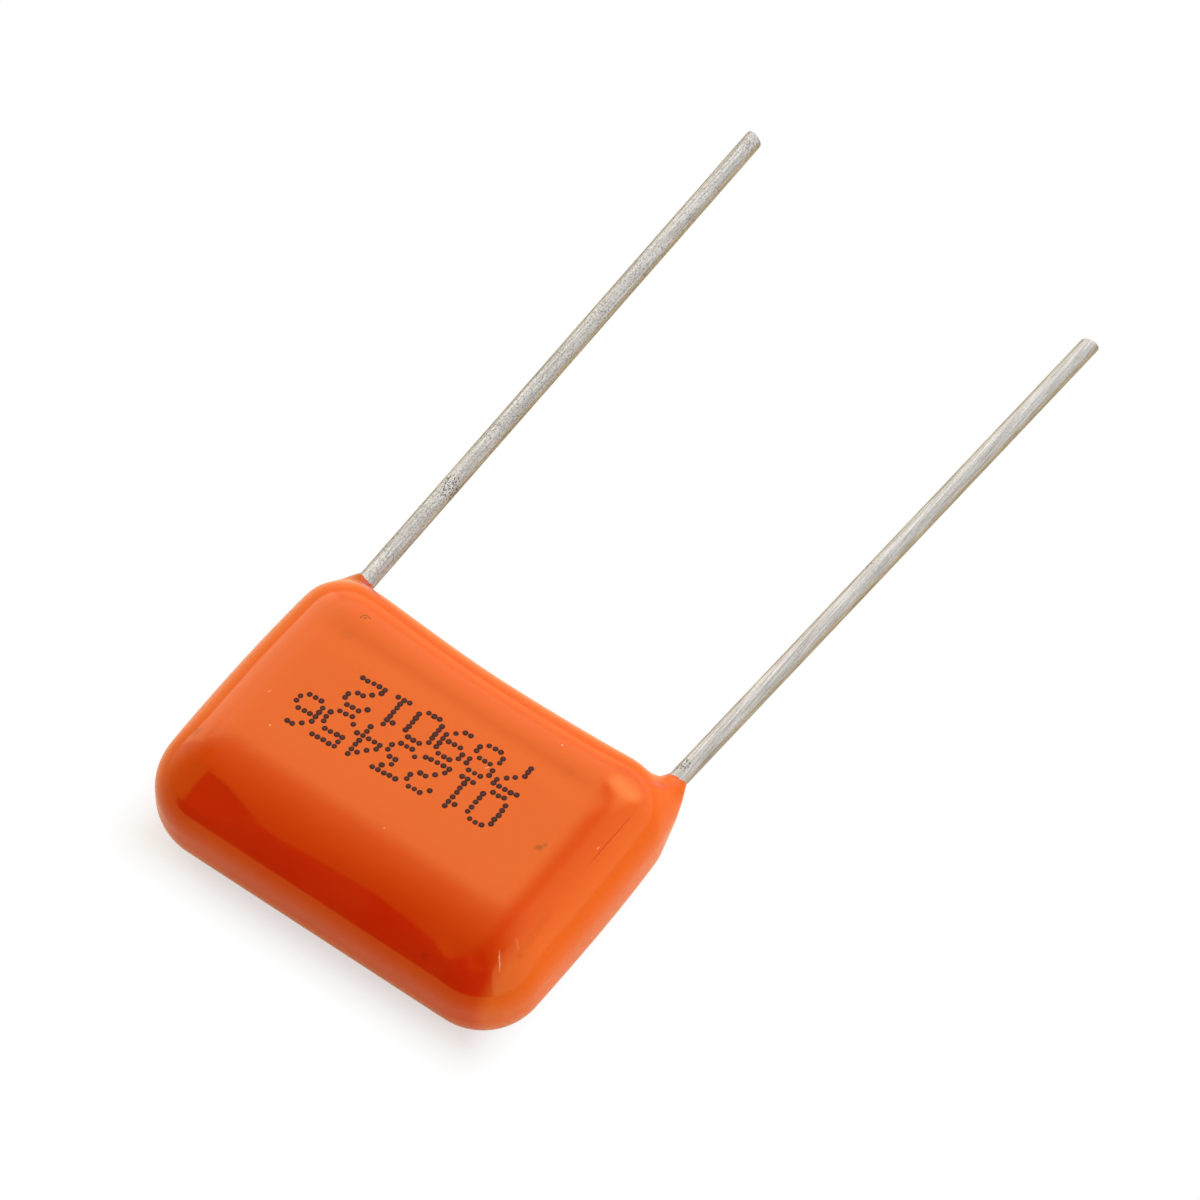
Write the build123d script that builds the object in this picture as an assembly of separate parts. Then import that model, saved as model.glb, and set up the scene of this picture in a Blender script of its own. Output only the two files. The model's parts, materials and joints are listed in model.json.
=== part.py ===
"""Radial-leaded polypropylene film capacitor with a dipped epoxy coat, lying on one flat face.

Millimetres. The origin is the middle of the coat's flat underside, +X runs from the left lead to
the right lead, +Y is the way both leads leave the body, and +Z is up through its thickness.
Under the coat lie the pressed film roll, the metal sprayed on its two ends and the flattened
feet of the two lead wires, which are welded to that metal.
"""

import math
import os

from build123d import *

# Leads
lead_pitch = 15.0  # between the two wire axes where they leave the coat
wire_diameter = 0.77
free_length = 26.1  # of each wire outside the coat
splay_left = 0.3  # degrees that each wire leans outwards
splay_right = 2.8  # degrees, likewise
shear_left = 12.0  # degrees that each cut tip is out of square, longer on its outer side
shear_right = 14.0  # degrees, likewise
weld_thickness = 0.6  # of the flattened foot, along X
weld_sink = 0.06  # depth that the foot is pressed into the sprayed metal
foot_length = 8.8  # of the flattened foot
foot_end = -3.6  # Y of the foot's free end
exit_gap = 0.03  # from the neck's tip to where the wire is fully round

# Film roll and the metal sprayed on its ends
roll_height = 11.0  # along Y
roll_thickness = 4.1  # along Z
core_width = 4.7  # of the slit that the winding mandrel leaves
core_gap = 0.2
spray_thickness = 0.4

# Coat
coat_bottom = 0.77  # over the roll, on the side away from the leads
coat_top = 0.8  # over the roll, on the lead side, midway between the wires
coat_face = 0.8  # over the roll's two flat faces
coat_end = 1.67  # over the sprayed ends, where each end bulges most
end_crest = -0.3  # Y of that bulge
end_fall_bottom = 0.12  # that an end comes in from the bulge to the bottom edge
end_fall_top = 0.3  # and to the lead side
top_rise = 0.47  # of the lead side's hollow edge, from its middle to its corners
plan_corner = 2.65
edge_round = 2.6
rest_width = 12.0  # of the flat that the coat lies on, along X
rest_depth = 7.0  # along Y
rest_slope = 3.0  # degrees that the underside rises outwards, all round that flat
rest_rise = 0.3  # enough for that rise to run out past the rounded edges
neck_height = 0.84  # of the coat's neck round each wire, above the middle of the lead side
neck_radius = 1.1  # at its root
neck_slope = 30.0  # degrees between the neck's skin and the wire at its tip
neck_feather = 0.05  # thickness of the coat at the neck's tip
neck_fillet = 1.3  # between the neck and the body

# What follows from them
wire_radius = wire_diameter / 2
lead_x = lead_pitch / 2
weld_width = wire_diameter**2 / weld_thickness  # keeps the wire's own cross-section
spray_face = lead_x - weld_thickness / 2 + weld_sink
roll_end = spray_face - spray_thickness
body_thickness = roll_thickness + 2 * coat_face
mid_z = body_thickness / 2
half_width = spray_face + coat_end
bottom_y = -roll_height / 2 - coat_bottom
top_y = roll_height / 2 + coat_top
neck_tip = top_y + neck_height
foot_top = foot_end + foot_length
splay_reach = wire_radius * math.sin(math.radians(max(splay_left, splay_right)))
round_start = neck_tip + splay_reach + exit_gap


def across_y(x, y):
    """A plane square to the leads, with its own X along the part's X."""
    return Plane(origin=(x, y, mid_z), x_dir=(1, 0, 0), z_dir=(0, 1, 0))


def across_x(x):
    """A plane square to the roll's axis, with its own X along the part's Y."""
    return Plane(origin=(x, 0, mid_z), x_dir=(0, 1, 0), z_dir=(1, 0, 0))


def film_winding(core=True):
    """Film wound on a mandrel, slipped off and pressed flat, with or without its core slit."""
    roll = extrude(across_x(-roll_end) * SlotOverall(roll_height, roll_thickness), 2 * roll_end)
    slit = extrude(across_x(-roll_end) * SlotOverall(core_width, core_gap), 2 * roll_end)
    return roll - slit if core else roll


def lead_wire(side, splay, shear):
    """One wire: a foot flattened for the weld, an easing back to round, and the free length."""
    x = side * lead_x
    lean = math.radians(splay)
    along = Vector(side * math.sin(lean), math.cos(lean), 0)
    oval = Ellipse(weld_thickness / 2, weld_width / 2)
    foot = extrude(across_y(x, foot_end) * oval, foot_length)
    square = Plane(origin=(x, round_start, mid_z), x_dir=(along.Y, -along.X, 0), z_dir=along)
    round_section = square * Circle(wire_radius)
    easing = loft([across_y(x, foot_top) * oval, round_section])
    stem = extrude(round_section, free_length + wire_diameter)
    tip = square.offset(free_length) * Rot(0, -side * shear, 0)
    beyond = extrude(tip * Rectangle(4 * wire_diameter, 4 * wire_diameter), 4 * wire_diameter)
    return foot + easing + (stem - beyond)


def end_spray(side, wire):
    """Zinc sprayed over the film's edges, with the wire's foot pressed into it."""
    start = roll_end if side > 0 else -spray_face
    plate = extrude(across_x(start) * SlotOverall(roll_height, roll_thickness), spray_thickness)
    return plate - wire


def right_neck():
    """The coat drawn up round the right wire by surface tension as it dried."""
    turn = math.radians(neck_slope)
    tip_radius = wire_radius + neck_feather
    bend = (neck_radius - tip_radius) / (1 - math.cos(turn))
    shoulder = neck_tip - bend * math.sin(turn)
    root = shoulder - neck_radius
    x = lead_x
    outer = x + neck_radius
    middle = (outer - bend * (1 - math.cos(turn / 2)), shoulder + bend * math.sin(turn / 2))
    outline = (
        Line((x, root), (outer, root))
        + Line((outer, root), (outer, shoulder))
        + ThreePointArc((outer, shoulder), middle, (x + tip_radius, neck_tip))
        + Line((x + tip_radius, neck_tip), (x, neck_tip))
        + Line((x, neck_tip), (x, root))
    )
    level = Plane.XY.offset(mid_z)
    axis = Axis((x, 0, mid_z), (0, 1, 0))
    return revolve(level * make_face(outline), axis)


def coat_outline():
    """The coat's outline seen from above, with the lead side hollowed between the wires."""
    corner_y = top_y + top_rise
    low_half, high_half = half_width - end_fall_bottom, half_width - end_fall_top
    low_left, low_right = (-low_half, bottom_y), (low_half, bottom_y)
    high_left, high_right = (-high_half, corner_y), (high_half, corner_y)
    edges = (
        Line(low_left, low_right)
        + ThreePointArc(low_right, (half_width, end_crest), high_right)
        + ThreePointArc(high_right, (0, top_y), high_left)
        + ThreePointArc(high_left, (-half_width, end_crest), low_left)
    )
    face = make_face(edges)
    return fillet(face.vertices(), plan_corner)


def underside():
    """What bounds the coat below: the flat that it lies on, rising gently all round it."""
    spread = 2 * rest_rise / math.tan(math.radians(rest_slope))
    flat = Rectangle(rest_width, rest_depth)
    wide = Plane.XY.offset(rest_rise) * Rectangle(rest_width + spread, rest_depth + spread)
    return loft([flat, wide]) + extrude(wide, body_thickness)


def epoxy_coating(inside):
    """The dipped coat: a pillow with a neck round each wire, hollow where the inner pieces lie."""
    slab = extrude(coat_outline(), body_thickness)
    by_height = slab.faces().sort_by(Axis.Z)
    slab = fillet(by_height[0].edges() + by_height[-1].edges(), edge_round)
    slab = slab & underside()
    necks = [right_neck(), mirror(right_neck(), Plane.YZ)]
    body = slab + necks
    roots = new_edges(slab, *necks, combined=body)
    body = body.fillet(neck_fillet, roots)
    return body - inside


lead_left = lead_wire(-1, splay_left, shear_left)
lead_right = lead_wire(1, splay_right, shear_right)
spray_left = end_spray(-1, lead_left)
spray_right = end_spray(1, lead_right)
inside = [film_winding(core=False), spray_left, spray_right, lead_left, lead_right]
solids = {
    "epoxy_coating": epoxy_coating(inside),
    "film_winding": film_winding(),
    "end_spray_left": spray_left,
    "end_spray_right": spray_right,
    "lead_wire_left": lead_left,
    "lead_wire_right": lead_right,
}

os.makedirs("parts", exist_ok=True)
for name, solid in solids.items():
    export_step(solid, f"parts/{name}.step")
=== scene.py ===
"""Looks for a radial-leaded polypropylene film capacitor that lies on one broad face.

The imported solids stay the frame. This script dresses them: the dipped coat with its drawn-up
necks, the two tinned wires with their cut tips, and rows of plain digits in ink dots.
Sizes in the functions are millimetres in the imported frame, and become metres in the meshes.
"""

import json
import math

import bmesh
import bpy
import numpy as np
from mathutils import Matrix, Vector


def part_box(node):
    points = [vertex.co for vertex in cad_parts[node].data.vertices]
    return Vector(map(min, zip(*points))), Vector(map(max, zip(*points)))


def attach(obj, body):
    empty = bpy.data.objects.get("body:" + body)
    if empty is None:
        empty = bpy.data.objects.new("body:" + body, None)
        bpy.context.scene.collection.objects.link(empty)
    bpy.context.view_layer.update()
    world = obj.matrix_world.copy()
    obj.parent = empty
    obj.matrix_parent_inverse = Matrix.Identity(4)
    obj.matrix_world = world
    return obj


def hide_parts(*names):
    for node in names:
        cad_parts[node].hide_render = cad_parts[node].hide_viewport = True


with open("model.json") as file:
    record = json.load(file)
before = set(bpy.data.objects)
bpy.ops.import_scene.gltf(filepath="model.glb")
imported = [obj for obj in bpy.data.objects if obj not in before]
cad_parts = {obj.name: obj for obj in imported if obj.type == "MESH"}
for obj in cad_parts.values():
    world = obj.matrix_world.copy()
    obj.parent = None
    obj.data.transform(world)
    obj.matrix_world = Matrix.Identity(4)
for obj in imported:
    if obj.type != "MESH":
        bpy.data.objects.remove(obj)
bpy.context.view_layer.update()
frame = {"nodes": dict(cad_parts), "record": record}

MM = 0.001  # metres in a millimetre


def box_mm(node):
    """A node's lowest and highest corners, in millimetres."""
    low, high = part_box(node)
    return np.array(low) / MM, np.array(high) / MM


coat_low, coat_high = box_mm("epoxy_coating")
pins = {mount["name"]: mount for mount in frame["record"]["mounts"] if mount["kind"] == "pin"}

# ---------------------------------------------------------------- sizes, mm
half_width = coat_high[0]
bottom_y = coat_low[1]
thickness = coat_high[2]
mid_z = thickness / 2
wire_radius = pins["lead_right"]["dims"]["r_mm"]
lead_x = pins["lead_right"]["pos_m"][0] / MM

top_y = 6.36  # lead side, midway between the wires
top_rise = 0.37  # more at its corners
top_skew = 0.13  # and more again towards the left wire
end_crest = -0.3  # Y where each end bulges most
end_fall_bottom = 0.12  # that an end comes in towards the bottom
end_fall_top = 0.30  # and towards the leads
plan_corner = 2.65  # radius of the outline's corners
tight_corner = 1.95  # radius of the one by the left wire
edge_round = 2.6  # radius of the rounded edges
rim_half = mid_z - edge_round  # half of the straight band round the middle
end_roll = 2.85  # how far in the upper face's roll reaches from the ends
far_roll = 3.9  # and from the far side
slump_start = 3.2  # how far left of the middle the far roll's slump begins
slump_grow = 2.6  # and over what run it grows full
slump_shares = (0.52, 0.66, 0.86)  # where it begins at its most and its least, and where it ends
slump_least_run = 0.02  # shares that the least slump takes up
spine_half = 4.6  # half length of the line that the coat's grid starts from
spine_depth = 4.0  # inset at which the rings of the rounded edge start
relief_from, relief_run = 4.2, 0.8  # Z where the upper face's relief sets in, and how fast


# ---------------------------------------------------------------- helpers
def linear(code):
    """An sRGB hex colour as linear RGBA: each channel through the sRGB curve."""
    channels = [int(code[i : i + 2], 16) / 255 for i in (1, 3, 5)]
    curve = [c / 12.92 if c <= 0.04045 else ((c + 0.055) / 1.055) ** 2.4 for c in channels]
    return (*curve, 1.0)


def add(tree, kind, inputs=None, **settings):
    """A node with its settings, and each named input set to a value, or linked to a socket or
    to the first output in use of another node."""
    node = tree.nodes.new(kind)
    for name, value in settings.items():
        setattr(node, name, value)
    for name, value in (inputs or {}).items():
        if isinstance(value, bpy.types.Node):
            value = next(socket for socket in value.outputs if socket.enabled)
        if isinstance(value, bpy.types.NodeSocket):
            tree.links.new(value, node.inputs[name])
        else:
            node.inputs[name].default_value = value
    return node


def smooth(t):
    """Eased step: 0 below 0, 1 above 1, and 3t^2 - 2t^3 between."""
    t = np.clip(t, 0, 1)
    return t * t * (3 - 2 * t)


def mesh_piece(name, points, faces, material):
    """A smooth-shaded object from points in mm and index faces, doubles merged, facing outwards."""
    mesh = bpy.data.meshes.new(name)
    mesh.from_pydata((np.asarray(points) * MM).tolist(), [], faces)
    shell = bmesh.new()
    shell.from_mesh(mesh)
    bmesh.ops.remove_doubles(shell, verts=shell.verts, dist=1e-7)
    bmesh.ops.dissolve_degenerate(shell, edges=shell.edges, dist=1e-8)
    bmesh.ops.recalc_face_normals(shell, faces=shell.faces)
    shell.to_mesh(mesh)
    shell.free()
    mesh.shade_smooth()
    mesh.materials.append(material)
    piece = bpy.data.objects.new(name, mesh)
    bpy.context.scene.collection.objects.link(piece)
    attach(piece, "root")
    return piece


def grid_faces(rows, columns, around):
    """Quads of a grid whose rows run along and whose columns close round, as index lists."""
    r, c = np.meshgrid(np.arange(rows - 1), np.arange(columns if around else columns - 1))
    n = (c + 1) % columns
    near, far = r * columns, (r + 1) * columns
    quads = np.stack([near + c, near + n, far + n, far + c], -1)
    return quads.reshape(-1, 4).tolist()


# ---------------------------------------------------------------- the coat's form
def plan_distances(x, y):
    """How far a point lies in from the nearer end, from the lead side and from the far side.

    The ends stand at half the width, less a fall that grows with the square of the distance
    from their fullest point. The lead side rises with the square of X, and a little to the left.
    """
    corner_y = top_y + top_rise
    up = y > end_crest
    reach = (y - end_crest) / (np.where(up, corner_y, bottom_y) - end_crest)
    fall = np.where(up, end_fall_top, end_fall_bottom)
    from_end = half_width - fall * reach**2 - np.abs(x)
    hollow = top_rise * (x / (half_width - end_fall_top)) ** 2
    lead_side = top_y + hollow + top_skew * smooth(-x / 6)
    return from_end, lead_side - y, y - bottom_y


def corner_at(x, y):
    """The outline's corner radius in the quarter where a point lies."""
    return np.where((x < 0) & (y > 0), tight_corner, plan_corner)


def inset(x, y):
    """How far a point lies in from the coat's outline: the least of its distances from the
    sides, with the corners between them rounded."""
    from_end, from_leads, from_far = plan_distances(x, y)
    from_long = np.minimum(from_leads, from_far)
    corner = corner_at(x, y)
    short = np.hypot(np.maximum(corner - from_end, 0), np.maximum(corner - from_long, 0))
    return corner - short + np.maximum(np.minimum(from_end, from_long) - corner, 0)


def outline_share(end_reach, long_reach, corner):
    """Directions and lengths of the outline where both distances are shares of their reaches."""
    turn = np.linspace(0, np.pi / 2, 60)
    straight = np.linspace(1, 0, 8)[:-1]
    end_run = corner + (end_reach - corner) * (1 - straight)
    long_run = corner + (long_reach - corner) * straight
    a = np.concatenate([0 * straight, corner * (1 - np.cos(turn)), end_run])
    b = np.concatenate([long_run, corner * (1 - np.sin(turn)), 0 * straight])
    u, v = 1 - a / end_reach, 1 - b / long_reach
    return np.arctan2(v, u), np.hypot(u, v)


def roll_share(x, y, end_reach, lead_reach, far_reach, slump=0.0):
    """How far out a point lies on the rounded edge: 0 where the flat starts, 1 on the outline.

    Each side gives a share of its own reach, and the two combine as the sides of a right
    triangle. Towards the outline the result is scaled so that it is 1 there. A slump flattens
    the far roll to a chord of its arc: a slump of 1 from the first of three shares to the
    last, and a lesser one over a shorter run that starts nearer the second.
    """
    from_end, from_leads, from_far = plan_distances(x, y)
    u = np.maximum(1 - from_end / end_reach, 0)
    far = np.maximum(1 - from_far / far_reach, 0)
    v = np.maximum(np.maximum(1 - from_leads / lead_reach, 0), far)
    way = np.arctan2(v, np.maximum(u, 1e-9))
    share = np.hypot(u, v)
    at_far, at_left, at_right = (
        np.interp(way, *outline_share(end_reach, reach, corner))
        for reach, corner in (
            (far_reach, plan_corner), (lead_reach, tight_corner), (lead_reach, plan_corner),
        )
    )
    full = np.where(far > 0, at_far, np.where(x < 0, at_left, at_right))
    share = share / (1 + (full - 1) * (share / full) ** 2)
    facing = far**2 / np.maximum(u**2 + far**2, 1e-9)
    full_start, least_start, full_end = slump_shares
    first = least_start - (least_start - full_start) * slump
    least_end = least_start + slump_least_run
    last = least_end + (full_end - least_end) * smooth(slump / 0.8)
    arc = np.sqrt(np.maximum(1 - share**2, 0))
    run = (share - first) / (last - first)
    chord = np.sqrt(1 - first**2) * (1 - run) + np.sqrt(1 - last**2) * run
    fallen = facing * np.maximum(arc - chord, 0)
    return np.where((share > first) & (share < last), np.sqrt(1 - (arc - fallen) ** 2), share)


def upper_share(x, y):
    """The roll of the upper face: long on the far side, and slumped towards its left corner."""
    slump = np.clip((-x - slump_start) / slump_grow, 0, 1)
    return roll_share(x, y, end_roll, edge_round, far_roll, slump)


def lower_share(x, y):
    """The roll of the underside: one reach all round."""
    return roll_share(x, y, edge_round, edge_round, edge_round)


def body_depth(p):
    """About how far a point lies inside the coat without its necks: the plan share and the
    height's share of the rounded edge, combined as a quarter circle."""
    x, y, z = p[..., 0], p[..., 1], p[..., 2]
    height = np.maximum(np.abs(z - mid_z) - rim_half, 0) / edge_round
    plan = np.where(z > mid_z, upper_share(x, y), lower_share(x, y))
    return edge_round * (1 - np.hypot(plan, height))


necks = {
    # side: Y of the coat's edge beside the wire, its rise outwards and its dip on top, how the
    # neck widens on its outer and inner side, and the width of the fillet to the body
    -1: dict(tip=7.27, tilt=0.10, dip=0.12, outer=(0.55, 0.30), inner=(0.55, 0.60), blend=0.34),
    1: dict(tip=7.25, tilt=0.03, dip=0.11, outer=(0.38, 0.40), inner=(0.45, 0.80), blend=0.60),
}
neck_wall = 0.02  # coat on the wire at a neck's edge
neck_reach = 1.0  # how far below its edge a neck goes on widening
neck_lean = 0.85  # depth per mm in from a neck's leaning wall
neck_fade = (1.3, 3.2, 0.8)  # how far below its edge it starts to fade, over what run, by how much
neck_lip, lip_spread = 0.014, 0.07  # height and spread of the fine ridge where a neck begins
neck_zone = (2.2, 3.6, 2.5)  # X from a wire and least Y where the coat is raised, and by how much


def neck_depth(p, side):
    """How far a point lies inside the neck of coat round one wire.

    The neck's radius is the wire's plus a share of the distance below its edge and of that
    distance squared, steeper on the outer side. The edge tilts across the wire, and further
    down the neck fades out inside the body.
    """
    neck = necks[side]
    across = (p[..., 0] - side * lead_x) * side
    radius = np.hypot(across, p[..., 2] - mid_z)
    outer = smooth(0.5 + 0.5 * across / np.maximum(radius, 0.05))
    up = np.clip((p[..., 2] - mid_z) / wire_radius, 0, 1)
    below = neck["tip"] + neck["tilt"] * across / wire_radius - neck["dip"] * up**2 - p[..., 1]
    a, b = (neck["inner"][i] + (neck["outer"][i] - neck["inner"][i]) * outer for i in (0, 1))
    t = neck_reach * (1 - np.exp(-np.maximum(below, 0) / neck_reach))
    skirt = wire_radius + neck_wall + a * t + b * t**2
    start, run, most = neck_fade
    return np.minimum((skirt - radius) * neck_lean, below) - most * smooth((below - start) / run)


def joined(a, b, width):
    """The greater of two depths, with a smooth fillet of the given width where they are equal."""
    share = np.maximum(width - np.abs(a - b), 0) / width
    return np.maximum(a, b) + share**2 * width / 4


def coat_depth(p):
    """Depth inside the coat with both necks blended in, and a fine ridge where each begins."""
    depth = body_depth(p)
    for side in necks:
        neck = neck_depth(p, side)
        inwards = smooth((side * lead_x - p[..., 0]) * side / 0.4)
        lip = neck_lip * inwards * np.exp(-(((depth - neck) / lip_spread) ** 2))
        depth = joined(depth, neck, necks[side]["blend"]) + lip
    return depth


def crossing(inside, low, high, steps=34):
    """Where a falling function of distance reaches zero, by halving the interval repeatedly."""
    for _ in range(steps):
        middle = (low + high) / 2
        within = inside(middle) > 0
        low, high = np.where(within, middle, low), np.where(within, high, middle)
    return (low + high) / 2


bells = (
    # height, then the middle and the spread along X and along Y
    (-0.14, 6.95, 0.85, 4.75, 1.05),  # the sunk corner by the right wire
    (-0.07, 6.90, 0.40, -4.90, 0.50),  # ripples in the epoxy that ran to the far right corner
    (0.26, 5.70, 0.50, -5.80, 0.45),
    (0.05, 7.70, 0.40, -5.30, 0.50),
    (0.05, 4.70, 0.80, -5.65, 0.60),
    (-0.03, 1.60, 1.00, -5.60, 0.70),  # and slow waves along that side
    (0.05, -2.40, 1.20, -5.60, 0.70),
)
valley_depth, valley_y, valley_spread = 0.035, 3.3, 0.5  # over the film roll's edge
valley_half, valley_ease = 7.2, 0.8  # its half length, and the run over which it ends


def relief(x, y):
    """Small heights on the upper face: a shallow valley along the film roll's edge, a bell
    across its own line, and bells about their own points."""
    length = smooth((valley_half - np.abs(x)) / valley_ease)
    found = -valley_depth * np.exp(-(((y - valley_y) / valley_spread) ** 2)) * length
    for height, middle_x, spread_x, middle_y, spread_y in bells:
        away = ((x - middle_x) / spread_x) ** 2 + ((y - middle_y) / spread_y) ** 2
        found = found + height * np.exp(-away)
    return found


def coat_rays():
    """Start points and directions of the coat's plan rays.

    They run straight up and down from a spine along X, and fan out from its two ends. In each
    fan they crowd together in a bell round 70 degrees, where the necks are, and in a lower
    one round the far corners at -62 degrees.
    """
    along = np.linspace(spine_half, -spine_half, 81)[1:-1]
    sweep = np.linspace(-90, 90, 721)
    at_necks = 2.6 * np.exp(-(((sweep - 70) / 10) ** 2))
    dense = 1 + at_necks + 0.9 * np.exp(-(((sweep + 62) / 16) ** 2))
    run = np.concatenate([[0], np.cumsum((dense[1:] + dense[:-1]) / 2)])
    fan = np.radians(np.interp(np.linspace(0, run[-1], 180), run, sweep))
    at_end, upwards = np.full(len(fan), spine_half), np.full(len(along), np.pi / 2)
    x = np.concatenate([along, -at_end, -along, at_end])
    angle = np.concatenate([upwards, np.pi - fan[::-1], -upwards, fan])
    return x, np.cos(angle), np.sin(angle)


def coat_surface():
    """The coat's grid of points: plan rays by rings from the upper spine round to the lower.

    A ring is where each ray reaches a set inset, and its height follows a quarter circle of
    the share of the rounded edge that it has reached.
    """
    x0, dx, dy = coat_rays()
    x0, dx, dy = x0[:, None], dx[:, None], dy[:, None]

    def at_inset(level):
        """Distance along every ray to where the inset is the given level."""
        start = np.zeros_like(level)
        far_out = start + 14.0
        return crossing(lambda t: inset(x0 + dx * t, dy * t) - level, start, far_out)

    def height(t, share):
        """Height over the straight band at a distance along each ray."""
        s = np.clip(share(x0 + dx * t, dy * t), 0, 1)
        return edge_round * np.sqrt(1 - s**2)

    turn = np.linspace(np.pi / 2, 0, 48)[None, :]
    level = spine_depth * (1 - np.cos(turn)) + 0 * x0
    upper_t = at_inset(level)
    lower_t = at_inset(edge_round * (1 - np.cos(turn[:, ::-1])) + 0 * x0)
    rim = upper_t[:, -1:]
    upper_z, lower_z = height(upper_t, upper_share), height(lower_t, lower_share)
    upper_z[:, -1], lower_z[:, 0] = 0, 0
    flat = np.linspace(0, 1, 26)[None, :-1]
    upper_flat, lower_flat = flat * upper_t[:, :1], flat[:, ::-3] * lower_t[:, -1:]
    band = np.linspace(rim_half, -rim_half, 7)[None, 1:-1]
    t = np.hstack([upper_flat, upper_t, rim + 0 * band, lower_t, lower_flat])
    z = np.hstack([
        thickness + 0 * upper_flat,
        mid_z + rim_half + upper_z,
        mid_z + band + 0 * rim,
        mid_z - rim_half - lower_z,
        0 * lower_flat,
    ])
    return np.stack([x0 + dx * t, dy * t, z], -1)


def raised_to_necks(p):
    """Points near a neck pushed out along their own normals until they meet the necked coat."""
    half_x, least_y, most = neck_zone
    small_steps = 1e-3 * np.eye(3)
    slope = np.stack([body_depth(p - step) - body_depth(p + step) for step in small_steps], -1)
    normal = slope / np.maximum(np.linalg.norm(slope, axis=-1, keepdims=True), 1e-9)
    near = (np.abs(np.abs(p[..., 0]) - lead_x) < half_x) & (p[..., 1] > least_y)
    start, way = p[near], normal[near]
    zero = np.zeros(len(start))
    out = crossing(lambda t: coat_depth(start + way * t[:, None]), zero, zero + most)
    lifted = coat_depth(start) > 2e-5  # so that the rest stays exactly where it is
    p = p.copy()
    p[near] = start + way * (out * lifted)[:, None]
    return p


def dipped_coat(material):
    """The coat as one closed shell: the grid of rings, merged along its spine, with its relief."""
    p = raised_to_necks(coat_surface())
    upper = smooth((p[..., 2] - relief_from) / relief_run)
    p[..., 2] += upper * relief(p[..., 0], p[..., 1])
    rays, rings = p.shape[:2]
    points = p.transpose(1, 0, 2).reshape(-1, 3)
    faces = grid_faces(rings, rays, True)
    piece = mesh_piece("dipped_coat", points, faces, material)
    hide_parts("epoxy_coating")
    return piece


# ---------------------------------------------------------------- the wires
foot_half, foot_top = 0.3, 5.2  # half width of a wire's flattened foot, and Y where it ends
straight_end, shear_run = 0.6, 3.0  # how far from the tip the rings stop, and the shear sets in
tip_rings = (
    # share of the wire's radius, and how far back of the tip's plane
    (1.0, 0.10), (0.985, 0.045), (0.95, 0.015), (0.90, 0.0), (0.6, 0.0), (0.3, 0.0), (0.0, 0.0),
)


def tinned_lead(name, node, pin, side, shear, material):
    """One wire: an oval carried along its axis, flattened at the foot and round outside the coat.

    Its two radii ease from the foot's to the wire's. The far end is cut off square plus the
    shear angle, and its rim is drawn in over a small radius.
    """
    low, high = box_mm(node)
    origin = np.array(pin["pos_m"]) / MM
    way = np.array(pin["axis"])
    length = pin["dims"]["length_mm"]
    across = np.array([way[1], -way[0], 0.0])
    turn = np.linspace(0, 2 * np.pi, 64, endpoint=False)[None, :]
    widening = np.linspace(foot_top, origin[1], 16)[1:]
    foot = np.concatenate([np.linspace(low[1], foot_top, 10), widening])
    share = smooth((foot - foot_top) / (origin[1] - foot_top))[:, None]
    foot_height = (high[2] - low[2]) / 2
    half_x = foot_half + (wire_radius - foot_half) * share
    half_z = foot_height + (wire_radius - foot_height) * share
    foot_ring = np.stack([
        side * lead_x + half_x * np.cos(turn),
        foot[:, None] + 0 * turn,
        mid_z + half_z * np.sin(turn),
    ], -1)
    straight = np.linspace(0, length - straight_end, 160)[1:]
    tip_rim, tip_back = np.array(tip_rings).T
    distance = np.concatenate([straight, np.full(len(tip_rings), length)])[:, None]
    rim = np.concatenate([np.ones(len(straight)), tip_rim])[:, None]
    back = np.concatenate([np.zeros(len(straight)), tip_back])[:, None]
    lateral = wire_radius * rim * np.cos(turn)
    slope = math.tan(math.radians(shear)) * side
    at_tip = np.concatenate([np.zeros(len(straight)), np.ones(len(tip_rings))])[:, None]
    ease = smooth((distance - (length - shear_run)) / shear_run)
    along = distance - back + ease * slope * lateral * np.maximum(at_tip, ease)
    stem = (
        origin
        + along[..., None] * way
        + lateral[..., None] * across
        + (wire_radius * rim * np.sin(turn))[..., None] * np.array([0, 0, 1.0])
    )
    cap = foot_ring[:1] * 0 + foot_ring[:1].mean(axis=1, keepdims=True)
    p = np.concatenate([cap, foot_ring, stem])
    faces = grid_faces(*p.shape[:2], True)
    piece = mesh_piece(name, p.reshape(-1, 3), faces, material)
    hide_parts(node)
    return piece


# ---------------------------------------------------------------- the digits
FONT = {
    "0": "01110 10001 10001 10001 10001 10001 01110",
    "1": "00100 01100 00100 00100 00100 00100 01110",
    "2": "01110 10001 00001 00110 01000 10000 11111",
    "3": "11111 00010 00100 00110 00001 10001 01110",
    "4": "00010 00110 01010 10010 11111 00010 00010",
    "5": "11111 10000 11110 00001 00001 10001 01110",
    "6": "00110 01000 10000 11110 10001 10001 01110",
    "7": "11111 00001 00010 00100 01000 01000 01000",
    "8": "01110 10001 10001 01110 10001 10001 01110",
    "9": "01110 10001 10001 01111 00001 00010 01100",
}
print_rows = (
    # digits, X and Y of the foot of the first digit's middle column, and the height of a cell
    ("789012", 3.43, 2.86, 0.222),
    ("0123456", 3.39, 1.15, 0.245),
)
dot_radius = 0.118
dot_scatter, dot_growth = 0.010, 0.05  # spread of the dots' places in mm, and of their sizes
column_pitch = 0.257
digit_pitch = 1.37
row_fall = 0.083  # a row sinks this much for each mm that it runs towards -X


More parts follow.
